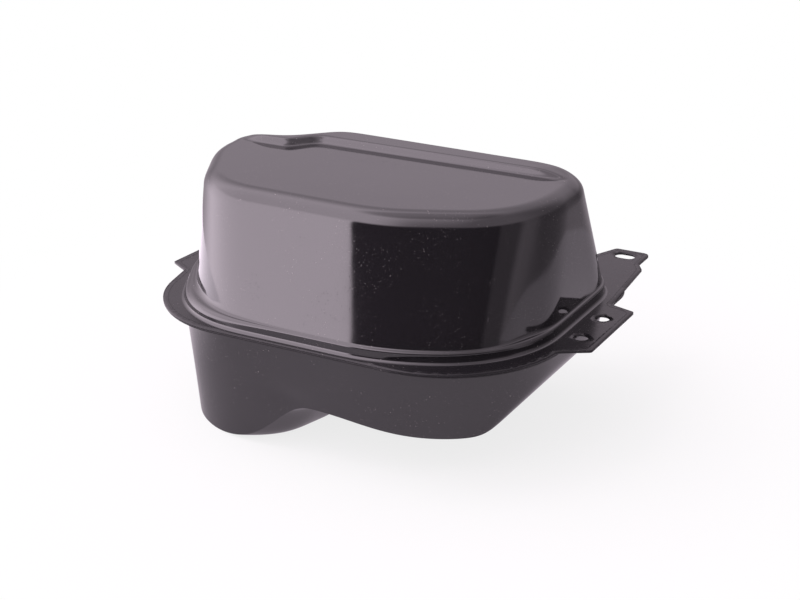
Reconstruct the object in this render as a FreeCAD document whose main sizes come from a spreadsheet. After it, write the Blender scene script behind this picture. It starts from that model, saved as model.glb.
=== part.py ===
import FreeCAD, Part
import math
import os

import Sketcher

# Scooter fuel tank: two deep drawn steel half shells, seam welded at a flat flange.
# Millimetres. X runs along the front edge, Y to the back, Z up.
# The two flanges meet in the parting plane, which lies rest_height above the floor.

SIZES = {
    # sheet and heights
    "sheet": 1.2,
    "crown_height": 84,
    "deck_depth": 47,
    "neck_height": 25,
    # straight sides of the seam outline, measured from the tank's own centre
    "seam_front": 115,
    "seam_right": 120,
    "seam_rear": 66.5,
    "seam_left": 127.5,
    "jog_depth": 18.5,
    "jog_right_x": -48,
    "jog_left_x": -72,
    "cheek_front_x": -90.5,
    "cheek_rear_y": -40,
    "bow_front_x": 48,
    "bow_right_y": -81.5,
    # corner radii of the seam outline
    "cheek_radius": 72,
    "flank_radius": 80,
    "bow_radius": 110,
    "side_radius": 75,
    "rear_radius": 35,
    "jog_radius": 20,
    # shoulder: the low step that the upper wall rises from
    "shoulder_height": 8,
    "shoulder_round": 6,
    "ledge": 1.6,
    "foot_cheek_radius": 98,
    "foot_flank_radius": 60,
    "foot_rear_radius": 46,
    # crown: how far the walls lean in on their way up
    "front_lean": 10,
    "right_lean": 3.5,
    "rear_lean": 46.5,
    "left_lean": 17.5,
    "crown_cheek_x": -80,
    "crown_cheek_y": -36,
    "crown_bow_x": 26,
    "crown_bow_y": -61,
    "crown_cheek_radius": 48,
    "crown_flank_radius": 46,
    "crown_bow_radius": 100,
    "crown_side_radius": 70,
    "crown_right_rear_radius": 24,
    "crown_left_rear_radius": 12,
    "crown_jog_depth": 28,
    "crown_jog_right_x": -52,
    "crown_jog_left_x": -78,
    "crown_jog_radius": 17,
    "crown_round": 11,
    # rib: the raised strip along the straight rear edge of the crown
    "rib_height": 4,
    "rib_inset": 1.2,
    "rib_back": 2.5,
    "rib_front_y": -3,
    "rib_step": 18,
    "rib_step_right_x": -54,
    "rib_step_left_x": -74,
    "rib_step_radius": 12,
    "rib_root": 20,
    "rib_round": 9,
    "rib_front_round": 3,
    # lower half
    "draft": 5,
    "floor_round": 12,
    "lobe_right_x": -10,
    "lobe_rear_y": -28,
    "lobe_radius": 26,
    "lobe_slope": 38,
    "lobe_round": 16,
    "hollow_round": 12,
    "bilge_top": 15,
    "bilge_run": 26,
    # flange
    "flange_front": 119,
    "flange_rear": 78,
    "flange_left_x": -131,
    "flange_left_y": -46,
    "flange_cheek_x": -116.3,
    "flange_cheek_radius": 67,
    "flange_side_x": 115.5,
    "flange_side_radius": 76,
    "flange_rear_radius": 34,
    "flange_rear_left_x": -136,
    "ear_tip_x": -145,
    "ear_tip_y": -37.5,
    "ear_side_x": 145,
    "ear_front_y": -42.3,
    "ear_root_y": -52.1,
    "ear_root_x": 128.7,
    "ear_rear_y": 23,
    "ear_notch_y": 27.7,
    "tab_rear": 119,
    "tab_right_x": 118.4,
    "tab_left_x": 95,
    "tab_root_x": 76.5,
    "tab_notch_x": 123.5,
    "tab_notch_y": 90.5,
    "tab_step_y": 98.6,
    # mounting holes
    "hole_radius": 4.5,
    "hole_x": 132,
    "hole_mid_y": -11.3,
    "hole_pitch": 32,
    "slot_x": 105,
    "slot_y": 108.3,
    "slot_travel": 4.5,
    # filler neck
    "neck_x": 42,
    "neck_y": -8,
    "neck_bore_radius": 20.8,
    "neck_collar_radius": 29,
    "neck_lip_radius": 2,
    "neck_bend": 3,
    # outlet boss for the fuel tap
    "tap_x": 40,
    "tap_height": 55.4,
    "tap_radius": 13,
    "tap_length": 7,
    "tap_bore_radius": 6.5,
}


class Dim:
    """A size that knows its value and the expression which gives it."""

    def __init__(self, value, text):
        self.value = value
        self.text = text

    def _join(self, other, sign, value):
        text = other.text if isinstance(other, Dim) else repr(float(other))
        return Dim(value, "(%s %s %s)" % (self.text, sign, text))

    def __add__(self, other):
        return self._join(other, "+", self.value + number(other))

    def __sub__(self, other):
        return self._join(other, "-", self.value - number(other))

    def __mul__(self, other):
        return self._join(other, "*", self.value * number(other))

    def __truediv__(self, other):
        return self._join(other, "/", self.value / number(other))

    def __neg__(self):
        return self * -1


def number(size):
    """The plain value of a size or a number."""
    return size.value if isinstance(size, Dim) else float(size)


doc = FreeCAD.newDocument("fuel_tank")
sheet = doc.addObject("Spreadsheet::Sheet", "sizes")
S = {}
for row, (name, value) in enumerate(SIZES.items(), start=1):
    sheet.set("A%d" % row, name)
    sheet.set("B%d" % row, str(value))
    sheet.setAlias("B%d" % row, name)
    S[name] = Dim(float(value), "sizes.%s" % name)
S["rest_height"] = S["deck_depth"] + S["neck_height"]
doc.recompute()


def origin_plane(body, role):
    """A body's own origin plane, found by its role."""
    return [item for item in body.Origin.OriginFeatures if item.Role == role][0]


def new_sketch(body, name, role, level=None):
    """A sketch on one of the body's planes, raised by level along the plane's normal."""
    sketch = body.newObject("Sketcher::SketchObject", name)
    sketch.AttachmentSupport = (origin_plane(body, role), [""])
    sketch.MapMode = "FlatFace"
    if level is not None:
        sketch.setExpression("AttachmentOffset.Base.z", level.text)
    return sketch


def tangent_points(corners):
    """Start, middle, end and centre of the arc in each rounded corner."""
    points = [FreeCAD.Vector(number(x), number(y), 0) for x, y, _ in corners]
    arcs = []
    for i, corner in enumerate(points):
        if corners[i][2] is None:
            arcs.append((corner, corner, corner, corner))
            continue
        before = (points[i - 1] - corner).normalize()
        after = (points[(i + 1) % len(points)] - corner).normalize()
        radius = number(corners[i][2])
        half = before.getAngle(after) / 2
        reach = radius / math.tan(half)
        centre = corner + (before + after).normalize() * (radius / math.sin(half))
        middle = centre + (corner - centre).normalize() * radius
        arcs.append((corner + before * reach, middle, corner + after * reach, centre))
    return arcs


def add_outline(sketch, corners, label):
    """Closed outline of straight sides and tangent arcs; each corner is (x, y, radius)."""
    count = len(corners)
    arcs = tangent_points(corners)
    arc_ids, line_ids, mark_ids = [], [], []
    for i in range(count):
        start, middle, end, _ = arcs[i]
        if corners[i][2] is None:
            arc_ids.append(None)
        else:
            arc_ids.append(sketch.addGeometry(Part.Arc(start, middle, end), False))
        line_ids.append(sketch.addGeometry(Part.LineSegment(end, arcs[(i + 1) % count][0]), False))
        mark = FreeCAD.Vector(number(corners[i][0]), number(corners[i][1]), 0)
        mark_ids.append(sketch.addGeometry(Part.Point(mark), True))
    for i in range(count):
        x, y, radius = corners[i]
        start, middle, end, _ = arcs[i]
        turns_left = (middle - start).cross(end - middle).z > 0
        first, last = (1, 2) if turns_left else (2, 1)
        previous_line = line_ids[i - 1]
        if radius is None:
            sketch.addConstraint(Sketcher.Constraint("Coincident", previous_line, 2, mark_ids[i], 1))
            sketch.addConstraint(Sketcher.Constraint("Coincident", line_ids[i], 1, mark_ids[i], 1))
        else:
            sketch.addConstraint(Sketcher.Constraint("Tangent", previous_line, 2, arc_ids[i], first))
            sketch.addConstraint(Sketcher.Constraint("Tangent", arc_ids[i], last, line_ids[i], 1))
            sketch.addConstraint(Sketcher.Constraint("PointOnObject", mark_ids[i], 1, previous_line))
            sketch.addConstraint(Sketcher.Constraint("PointOnObject", mark_ids[i], 1, line_ids[i]))
        for kind, size, key in (("DistanceX", x, "x"), ("DistanceY", y, "y")):
            index = sketch.addConstraint(Sketcher.Constraint(kind, -1, 1, mark_ids[i], 1, number(size)))
            name = "%s_%s_%d" % (label, key, i)
            sketch.renameConstraint(index, name)
            sketch.setExpression("Constraints.%s" % name, size.text)
        if radius is None:
            continue
        index = sketch.addConstraint(Sketcher.Constraint("Radius", arc_ids[i], number(radius)))
        name = "%s_r_%d" % (label, i)
        sketch.renameConstraint(index, name)
        sketch.setExpression("Constraints.%s" % name, radius.text)


def inset(corners, depth):
    """The same outline with every side moved inward by depth."""
    count = len(corners)
    arcs = tangent_points(corners)
    result = []
    for i in range(count):
        x, y, radius = corners[i]
        start, middle, end, _ = arcs[i]
        before = (FreeCAD.Vector(number(x), number(y), 0) - start).normalize()
        after = (end - FreeCAD.Vector(number(x), number(y), 0)).normalize()
        normal_before = FreeCAD.Vector(-before.y, before.x, 0)
        normal_after = FreeCAD.Vector(-after.y, after.x, 0)
        mitre = (normal_before + normal_after) * (1 / (1 + normal_before.dot(normal_after)))
        turns_left = before.cross(after).z > 0
        new_radius = radius - depth if turns_left else radius + depth
        result.append((x + depth * mitre.x, y + depth * mitre.y, new_radius))
    return result


def edges_where(feature, test):
    """Names of the feature's edges that pass the test."""
    return ["Edge%d" % (i + 1) for i, edge in enumerate(feature.Shape.Edges) if test(edge)]


def at_level(level):
    """A test for edges that lie flat at one height."""
    return lambda edge: abs(edge.BoundBox.ZMin - level) < 1e-3 and abs(edge.BoundBox.ZMax - level) < 1e-3


def add_fillet(body, name, feature, edges, radius):
    """Round the named edges of a feature."""
    fillet = body.newObject("PartDesign::Fillet", name)
    fillet.Base = (feature, edges)
    fillet.setExpression("Radius", radius.text)
    doc.recompute()
    return fillet


def add_loft(body, kind, name, lower, upper):
    """Straight-sided loft between two sketches."""
    loft = body.newObject(kind, name)
    loft.Profile = lower
    loft.Sections = [upper]
    loft.Ruled = True
    doc.recompute()
    return loft


seam = [
    (S["cheek_front_x"], -S["seam_front"], S["cheek_radius"]),
    (S["bow_front_x"], -S["seam_front"], S["bow_radius"]),
    (S["seam_right"], S["bow_right_y"], S["side_radius"]),
    (S["seam_right"], S["seam_rear"], S["rear_radius"]),
    (S["jog_right_x"], S["seam_rear"], S["jog_radius"]),
    (S["jog_left_x"], S["seam_rear"] - S["jog_depth"], S["jog_radius"]),
    (-S["seam_left"], S["seam_rear"] - S["jog_depth"], S["rear_radius"]),
    (-S["seam_left"], S["cheek_rear_y"], S["flank_radius"]),
]
foot_rounds = ["foot_cheek_radius", "bow_radius", "side_radius", "foot_rear_radius",
               "jog_radius", "jog_radius", "rear_radius", "foot_flank_radius"]
foot = [(x, y, S[name]) for (x, y, _), name in zip(inset(seam, S["ledge"]), foot_rounds)]
crown_front = S["seam_front"] - S["front_lean"]
crown_right = S["seam_right"] - S["right_lean"]
crown_rear = S["seam_rear"] - S["rear_lean"]
crown_left = S["seam_left"] - S["left_lean"]
crown = [
    (S["crown_cheek_x"], -crown_front, S["crown_cheek_radius"]),
    (S["crown_bow_x"], -crown_front, S["crown_bow_radius"]),
    (crown_right, S["crown_bow_y"], S["crown_side_radius"]),
    (crown_right, crown_rear, S["crown_right_rear_radius"]),
    (S["crown_jog_right_x"], crown_rear, S["crown_jog_radius"]),
    (S["crown_jog_left_x"], crown_rear - S["crown_jog_depth"], S["crown_jog_radius"]),
    (-crown_left, crown_rear - S["crown_jog_depth"], S["crown_left_rear_radius"]),
    (-crown_left, S["crown_cheek_y"], S["crown_flank_radius"]),
]


def upper_form(name, depth):
    """Solid form of the upper half, with every face moved inward by depth."""
    body = doc.addObject("PartDesign::Body", name)
    step_sketch = new_sketch(body, name + "_seam", "XY_Plane")
    add_outline(step_sketch, inset(seam, depth), "seam")
    step = body.newObject("PartDesign::Pad", name + "_shoulder")
    step.Profile = step_sketch
    step.setExpression("Length", (S["shoulder_height"] - depth).text)
    doc.recompute()
    level = number(S["shoulder_height"] - depth)
    add_fillet(body, name + "_shoulder_round", step, edges_where(step, at_level(level)),
               S["shoulder_round"] - depth)
    foot_sketch = new_sketch(body, name + "_foot", "XY_Plane")
    add_outline(foot_sketch, inset(foot, depth), "foot")
    crown_sketch = new_sketch(body, name + "_crown", "XY_Plane", S["crown_height"] - depth)
    add_outline(crown_sketch, inset(crown, depth), "crown")
    wall = add_loft(body, "PartDesign::AdditiveLoft", name + "_wall", foot_sketch, crown_sketch)
    level = number(S["crown_height"] - depth)
    wall = add_fillet(body, name + "_crown_round", wall, edges_where(wall, at_level(level)),
                      S["crown_round"] - depth)
    return body


def rib_form(name, depth):
    """Solid form of the raised strip behind the crown's flat face, moved inward by depth."""
    body = doc.addObject("PartDesign::Body", name)
    rear = crown_rear + S["rib_back"]
    outline = inset(crown, S["rib_inset"] + depth)
    outline[3] = (outline[3][0], rear - depth, outline[3][2])
    outline[4] = (outline[4][0], rear - depth, outline[4][2])
    outline[5] = (outline[5][0], rear - S["crown_jog_depth"] - depth, outline[5][2])
    outline[6] = (outline[6][0], rear - S["crown_jog_depth"] - depth, outline[6][2])
    root = S["crown_height"] - S["rib_root"]
    top = S["crown_height"] + S["rib_height"] - depth
    sketch = new_sketch(body, name + "_outline", "XY_Plane", root)
    add_outline(sketch, outline, "rib")
    block = body.newObject("PartDesign::Pad", name + "_block")
    block.Profile = sketch
    block.setExpression("Length", (top - root).text)
    doc.recompute()
    block = add_fillet(body, name + "_round", block, edges_where(block, at_level(number(top))),
                       S["rib_round"] - depth)
    front = S["rib_front_y"] + depth
    reach = S["seam_right"] * 2
    step = [
        (-reach, -reach, None),
        (reach, -reach, None),
        (reach, front, None),
        (S["rib_step_right_x"], front, S["rib_step_radius"] + depth),
        (S["rib_step_left_x"], front - S["rib_step"], S["rib_step_radius"] - depth),
        (-reach, front - S["rib_step"], None),
    ]
    sketch = new_sketch(body, name + "_step", "XY_Plane", top)
    add_outline(sketch, step, "step")
    cut = body.newObject("PartDesign::Pocket", name + "_cut")
    cut.Profile = sketch
    cut.Type = "ThroughAll"
    doc.recompute()

    def on_step(edge):
        """Whether an edge runs along the top of the cut's wall."""
        middle = edge.valueAt((edge.FirstParameter + edge.LastParameter) / 2)
        box = edge.BoundBox
        if box.ZMax < number(top) - number(S["rib_round"]) or box.ZLength > number(S["rib_round"]):
            return False
        faces = [face for face in cut.Shape.Faces if face.BoundBox.ZLength > number(S["rib_root"]) * 0.5
                 and any(edge.isSame(other) for other in face.Edges)]
        return any(is_step_wall(face, front) for face in faces) and middle.z > number(root) + 1

    cut = add_fillet(body, name + "_step_round", cut, edges_where(cut, on_step), S["rib_front_round"])
    return body


def is_step_wall(face, front):
    """Whether a tall face belongs to the strip's front wall, not to its outer sides."""
    box = face.BoundBox
    low = number(front - S["rib_step"]) - 1
    return box.YMin > low and box.YMax < number(front) + 1 and box.XLength > 1.0


def slant(draft):
    """How far a wall leans for each millimetre of height."""
    return math.tan(math.radians(number(draft)))


def lower_form(name, depth):
    """Solid form of the lower half, with its lobe, moved inward by depth."""
    body = doc.addObject("PartDesign::Body", name)
    lean = slant(S["draft"])
    lobe_level = depth - S["rest_height"]
    deck_level = depth - S["deck_depth"]
    rim_sketch = new_sketch(body, name + "_rim", "XY_Plane")
    add_outline(rim_sketch, inset(seam, depth), "rim")
    floor_sketch = new_sketch(body, name + "_floor", "XY_Plane", lobe_level)
    add_outline(floor_sketch, inset(seam, depth - lobe_level * lean), "floor")
    tub = add_loft(body, "PartDesign::AdditiveLoft", name + "_tub", rim_sketch, floor_sketch)

    # the deck: everything beside the lobe is cut back to the shallower level
    taper = math.radians(number(S["lobe_slope"]))
    shift = depth * ((1 - math.sin(taper)) / math.cos(taper))
    side = S["lobe_right_x"] - shift
    back = S["lobe_rear_y"] - shift
    reach = S["seam_right"] * 2
    deck_outline = [
        (side, -reach, None),
        (reach, -reach, None),
        (reach, reach, None),
        (-reach, reach, None),
        (-reach, back, None),
        (side, back, S["lobe_radius"] - depth),
    ]
    sketch = new_sketch(body, name + "_deck", "XY_Plane", lobe_level)
    add_outline(sketch, deck_outline, "deck")
    deck = body.newObject("PartDesign::Pocket", name + "_deck_cut")
    deck.Profile = sketch
    deck.Reversed = True
    deck.setExpression("Length", (deck_level - lobe_level).text)
    deck.setExpression("TaperAngle", "-" + S["lobe_slope"].text)
    doc.recompute()

    # the bilge: the lower right side is cut away on a slant
    wall_x = S["seam_right"] - S["bilge_top"] * lean - depth
    run = (S["bilge_run"] - S["bilge_top"] * lean) / (S["deck_depth"] - S["bilge_top"])
    spare = S["bilge_top"] * 0.5
    drop = S["deck_depth"] - S["bilge_top"] + spare
    high = spare - S["bilge_top"] + depth
    sketch = new_sketch(body, name + "_bilge", "XZ_Plane")
    bilge_outline = [
        (wall_x + run * spare, high, None),
        (wall_x - run * drop, high - drop - spare, None),
        (wall_x + run * spare, high - drop - spare, None),
    ]
    add_outline(sketch, bilge_outline, "bilge")
    bilge = body.newObject("PartDesign::Pocket", name + "_bilge_cut")
    bilge.Profile = sketch
    bilge.Type = "ThroughAll"
    bilge.Midplane = True
    doc.recompute()

    # rounded edges: hollow beside the lobe, lobe lip, then the whole lower outline
    rise = S["rest_height"] - S["deck_depth"]
    top_side = number(side + rise * math.tan(taper))
    top_back = number(back + rise * math.tan(taper))

    def in_hollow(edge):
        """Whether an edge is the inner corner between the lobe and the deck."""
        box = edge.BoundBox
        return at_level(number(deck_level))(edge) and box.XMax < top_side + 0.01 and box.YMax < top_back + 0.01

    def on_lip(edge):
        """Whether an edge lies between the lobe's bottom and its sloping flank."""
        box = edge.BoundBox
        if not at_level(number(lobe_level))(edge):
            return False
        corner = number(S["lobe_radius"]) + 0.01
        past_corner = box.XMin > number(side) - corner and box.YMin > number(back) - corner
        return box.XMin > number(side) - 0.01 or box.YMin > number(back) - 0.01 or past_corner

    hollow = add_fillet(body, name + "_hollow_round", bilge, edges_where(bilge, in_hollow),
                        S["hollow_round"] + depth)
    lip = add_fillet(body, name + "_lip_round", hollow, edges_where(hollow, on_lip), S["lobe_round"] - depth)
    walls = [face for face in lip.Shape.Faces if face.BoundBox.ZMax > -1]

    def under_wall(edge):
        """Whether an edge ends a side wall at its lower side."""
        box = edge.BoundBox
        if box.ZMax > -1:
            return False
        bilge_foot = number(S["seam_right"] - S["bilge_run"]) - 1 - number(depth)
        deck_edge = at_level(number(deck_level))(edge) and box.XLength < 0.01 and box.XMin > bilge_foot
        return deck_edge or any(edge.isSame(other) for wall in walls for other in wall.Edges)

    tub = add_fillet(body, name + "_floor_round", lip, edges_where(lip, under_wall), S["floor_round"] - depth)
    mouth = [i for i, face in enumerate(tub.Shape.Faces) if abs(face.BoundBox.ZMin) < 1e-4][0]
    wall = body.newObject("PartDesign::Thickness", name + "_wall")
    wall.Base = (tub, ["Face%d" % (mouth + 1)])
    wall.setExpression("Value", S["sheet"].text)
    wall.Reversed = True
    wall.Join = 0
    doc.recompute()
    return body


def flange_form(name, outline, lower_face):
    """Flat flange ring round the seam outline, one sheet thick, with its lower face at a height."""
    body = doc.addObject("PartDesign::Body", name)
    sketch = new_sketch(body, name + "_outline", "XY_Plane", lower_face)
    add_outline(sketch, outline, "edge")
    add_outline(sketch, inset(seam, S["sheet"] / 2), "mouth")
    ring = body.newObject("PartDesign::Pad", name + "_ring")
    ring.Profile = sketch
    ring.setExpression("Length", S["sheet"].text)
    doc.recompute()
    return body, ring


def add_circle(sketch, x, y, radius, label):
    """A circle placed by its centre."""
    centre = FreeCAD.Vector(number(x), number(y), 0)
    circle = sketch.addGeometry(Part.Circle(centre, FreeCAD.Vector(0, 0, 1), number(radius)), False)
    for kind, size, key in (("DistanceX", x, "x"), ("DistanceY", y, "y")):
        index = sketch.addConstraint(Sketcher.Constraint(kind, -1, 1, circle, 3, number(size)))
        sketch.renameConstraint(index, label + "_" + key)
        sketch.setExpression("Constraints.%s_%s" % (label, key), size.text)
    index = sketch.addConstraint(Sketcher.Constraint("Radius", circle, number(radius)))
    sketch.renameConstraint(index, label + "_r")
    sketch.setExpression("Constraints.%s_r" % label, radius.text)


def add_mounting_holes(body, ring):
    """Two round holes in the right ear and a slot in the rear tab."""
    sketch = new_sketch(body, "mounting_holes", "XY_Plane", S["sheet"])
    half = S["hole_pitch"] / 2
    add_circle(sketch, S["hole_x"], S["hole_mid_y"] - half, S["hole_radius"], "front_hole")
    add_circle(sketch, S["hole_x"], S["hole_mid_y"] + half, S["hole_radius"], "rear_hole")
    radius = S["hole_radius"]
    reach = S["slot_travel"] / 2
    slot = [
        (S["slot_x"] - reach - radius, S["slot_y"] - radius, radius * 0.999),
        (S["slot_x"] + reach + radius, S["slot_y"] - radius, radius * 0.999),
        (S["slot_x"] + reach + radius, S["slot_y"] + radius, radius * 0.999),
        (S["slot_x"] - reach - radius, S["slot_y"] + radius, radius * 0.999),
    ]
    add_outline(sketch, slot, "slot")
    holes = body.newObject("PartDesign::Pocket", "mounting_hole_cut")
    holes.Profile = sketch
    holes.Type = "ThroughAll"
    doc.recompute()


def combine(kind, name, parts):
    """Join or cut solids; the result follows them."""
    result = doc.addObject(kind, name)
    if kind == "Part::Cut":
        result.Base, result.Tool = parts
    else:
        result.Shapes = parts
    result.Refine = False
    doc.recompute()
    return result


edge_round = S["sheet"] * 2
front_edge = -S["flange_front"]
cheek_corner = (S["flange_cheek_x"], front_edge, S["flange_cheek_radius"])
side_corner = (S["flange_side_x"], front_edge, S["flange_side_radius"])
upper_edge = [
    cheek_corner,
    side_corner,
    (S["ear_root_x"], S["ear_root_y"], edge_round * 2.5),
    (S["ear_side_x"], S["ear_front_y"], edge_round),
    (S["ear_side_x"], S["ear_rear_y"], edge_round),
    (S["ear_root_x"], S["ear_notch_y"], S["sheet"]),
    (S["tab_notch_x"], S["tab_notch_y"], edge_round),
    (S["tab_right_x"], S["tab_step_y"], edge_round),
    (S["tab_right_x"], S["tab_rear"], edge_round * 2),
    (S["tab_left_x"], S["tab_rear"], edge_round),
    (S["tab_root_x"], S["flange_rear"], edge_round * 4),
    (S["flange_rear_left_x"], S["flange_rear"], S["flange_rear_radius"]),
    (S["ear_tip_x"], S["ear_tip_y"], S["sheet"]),
    (S["flange_left_x"], S["flange_left_y"], S["sheet"]),
]
lower_edge = [
    cheek_corner,
    side_corner,
    (S["ear_root_x"], S["ear_root_y"], S["flange_rear_radius"]),
    (S["tab_notch_x"], S["flange_rear"], S["flange_rear_radius"]),
    (S["flange_rear_left_x"], S["flange_rear"], S["flange_rear_radius"]),
    (S["flange_left_x"], S["flange_left_y"], S["flange_rear_radius"]),
]


def neck_form(name):
    """Filler neck: a pressed collar that sits on the deck, a short tube and a rolled lip."""
    body = doc.addObject("PartDesign::Body", name)
    sketch = new_sketch(body, name + "_section", "XZ_Plane")
    bore = S["neck_bore_radius"]
    outer = bore + S["sheet"]
    collar = S["neck_collar_radius"]
    deck = -S["deck_depth"]
    lip_top = S["neck_lip_radius"] * 2 - S["rest_height"]
    lip_side = outer + S["neck_lip_radius"]
    bend = S["neck_bend"]
    chamfer = S["neck_lip_radius"] / 2
    section = [
        (bore, -S["rest_height"], None),
        (lip_side - chamfer, -S["rest_height"], None),
        (lip_side, chamfer - S["rest_height"], None),
        (lip_side, lip_top - chamfer, None),
        (lip_side - chamfer, lip_top, None),
        (outer, lip_top, None),
        (outer, deck - S["sheet"] - bend, None),
        (outer + bend, deck - S["sheet"], None),
        (collar, deck - S["sheet"], None),
        (collar, deck, None),
        (bore, deck, None),
    ]
    add_outline(sketch, section, "neck")
    turned = body.newObject("PartDesign::Revolution", name + "_turned")
    turned.Profile = sketch
    turned.ReferenceAxis = (sketch, ["V_Axis"])
    turned.Angle = 360
    doc.recompute()
    return body


def on_rear_wall(item, offset):
    """Place an item on the sloping rear wall, its Z axis pointing straight out, offset along it."""
    angle = math.atan2(number(S["rear_lean"] - S["ledge"]), number(S["crown_height"]))
    item.Placement = FreeCAD.Placement(
        FreeCAD.Vector(0, 0, 0), FreeCAD.Rotation(FreeCAD.Vector(1, 0, 0), math.degrees(angle) - 90))
    height = S["tap_height"]
    foot_y = S["seam_rear"] - S["ledge"]
    lean = (S["rear_lean"] - S["ledge"]) / S["crown_height"]
    item.setExpression("Placement.Base.x", S["tap_x"].text)
    item.setExpression("Placement.Base.y", (foot_y - height * lean + offset * math.cos(angle)).text)
    item.setExpression("Placement.Base.z", (height + offset * math.sin(angle)).text)


upper_outer = upper_form("upper_outer", S["sheet"] * 0)
upper_inner = upper_form("upper_inner", S["sheet"])
strip_outer = rib_form("strip_outer", S["sheet"] * 0)
strip_inner = rib_form("strip_inner", S["sheet"])
lower_wall = lower_form("lower_wall", S["sheet"] * 0)
upper_flange, upper_ring = flange_form("upper_flange", upper_edge, S["sheet"] * 0)
add_mounting_holes(upper_flange, upper_ring)
lower_flange, _ = flange_form("lower_flange", lower_edge, -S["sheet"])

upper_solid = combine("Part::MultiFuse", "upper_solid", [upper_outer, strip_outer])
upper_void = combine("Part::MultiFuse", "upper_void", [upper_inner, strip_inner])
upper_wall = combine("Part::Cut", "upper_wall", [upper_solid, upper_void])
upper_sheet = combine("Part::MultiFuse", "upper_sheet", [upper_wall, upper_flange])
tap_drill = doc.addObject("Part::Cylinder", "tap_drill")
tap_drill.setExpression("Radius", S["tap_bore_radius"].text)
tap_drill.setExpression("Height", (S["tap_length"] * 4).text)
on_rear_wall(tap_drill, -S["tap_length"] * 2)
upper_shell = combine("Part::Cut", "upper_shell", [upper_sheet, tap_drill])

lower_sheet = combine("Part::MultiFuse", "lower_sheet", [lower_wall, lower_flange])
neck_drill = doc.addObject("Part::Cylinder", "neck_drill")
neck_drill.setExpression("Radius", S["neck_bore_radius"].text)
neck_drill.setExpression("Height", (S["sheet"] * 6).text)
neck_drill.setExpression("Placement.Base.x", S["neck_x"].text)
neck_drill.setExpression("Placement.Base.y", S["neck_y"].text)
neck_drill.setExpression("Placement.Base.z", (-S["deck_depth"] - S["sheet"] * 2).text)
lower_shell = combine("Part::Cut", "lower_shell", [lower_sheet, neck_drill])

filler_neck = neck_form("filler_neck")
filler_neck.setExpression("Placement.Base.x", S["neck_x"].text)
filler_neck.setExpression("Placement.Base.y", S["neck_y"].text)

boss_body = doc.addObject("Part::Cylinder", "boss_body")
boss_body.setExpression("Radius", S["tap_radius"].text)
boss_body.setExpression("Height", S["tap_length"].text)
boss_bore = doc.addObject("Part::Cylinder", "boss_bore")
boss_bore.setExpression("Radius", S["tap_bore_radius"].text)
boss_bore.setExpression("Height", S["tap_length"].text)
on_rear_wall(boss_body, S["sheet"] * 0)
on_rear_wall(boss_bore, S["sheet"] * 0)
tap_boss = combine("Part::Cut", "tap_boss", [boss_body, boss_bore])

PARTS = {
    "upper_shell": upper_shell,
    "lower_shell": lower_shell,
    "filler_neck": filler_neck,
    "tap_boss": tap_boss,
}
for label, part in PARTS.items():
    part.Label = label
    part.setExpression("Placement.Base.z", S["rest_height"].text)
doc.recompute()

for item in doc.Objects:
    if "Invalid" in item.State or "Error" in item.State:
        raise RuntimeError("%s did not build: %s" % (item.Name, item.State))
os.makedirs("parts", exist_ok=True)
for label, part in PARTS.items():
    if part.Shape.isNull() or not part.Shape.isValid():
        raise RuntimeError("%s has no valid shape" % label)
    part.Shape.exportStep(os.path.join("parts", label + ".step"))
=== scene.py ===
"""Scooter fuel tank: two deep drawn steel half shells, seam welded at a flat flange, in gloss black."""

import logging
import math
from dataclasses import dataclass, field
from enum import Enum

import bpy
import numpy as np
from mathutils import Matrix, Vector, geometry


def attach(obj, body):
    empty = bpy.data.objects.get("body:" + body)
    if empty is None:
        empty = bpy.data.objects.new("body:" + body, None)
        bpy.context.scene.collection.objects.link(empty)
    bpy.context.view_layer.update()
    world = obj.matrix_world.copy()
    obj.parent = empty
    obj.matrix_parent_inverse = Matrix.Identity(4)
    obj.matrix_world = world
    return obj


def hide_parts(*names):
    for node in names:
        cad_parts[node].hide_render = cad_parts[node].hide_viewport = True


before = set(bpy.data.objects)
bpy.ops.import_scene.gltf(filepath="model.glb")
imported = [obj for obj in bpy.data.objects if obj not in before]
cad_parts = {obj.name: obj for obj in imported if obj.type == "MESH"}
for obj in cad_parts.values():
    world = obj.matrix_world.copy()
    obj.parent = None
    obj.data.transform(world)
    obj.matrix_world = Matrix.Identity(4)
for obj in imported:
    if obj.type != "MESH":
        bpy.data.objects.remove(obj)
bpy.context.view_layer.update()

LOG = logging.getLogger("fuel_tank")
MM = 0.001
PARTING = 72.0
SHEET = 1.2
ROOT = "root"
NECK = (42.0, -8.0, -47.0)
NECK_OPENING = 23.0
TAP = (40.0, 35.3, 55.4)
TAP_OPENING = 9.0
EAR_HOLES = ((132.0, -27.3), (132.0, 4.7))
TAB_SLOT = (105.0, 108.3)
SLOT_HALF_RUN = 2.25
EDGE_STEP = 1.6
FLANGE_STEP = 3.0
FLANGE_CLEARANCE = 1.2
FLANGE_LAP = 6.0
SEAM_BLUR = 3.0


class Side(Enum):
    """Which half of the tank a surface belongs to."""

    UPPER = 1
    LOWER = -1


Corner = tuple[float, float, float]

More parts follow.
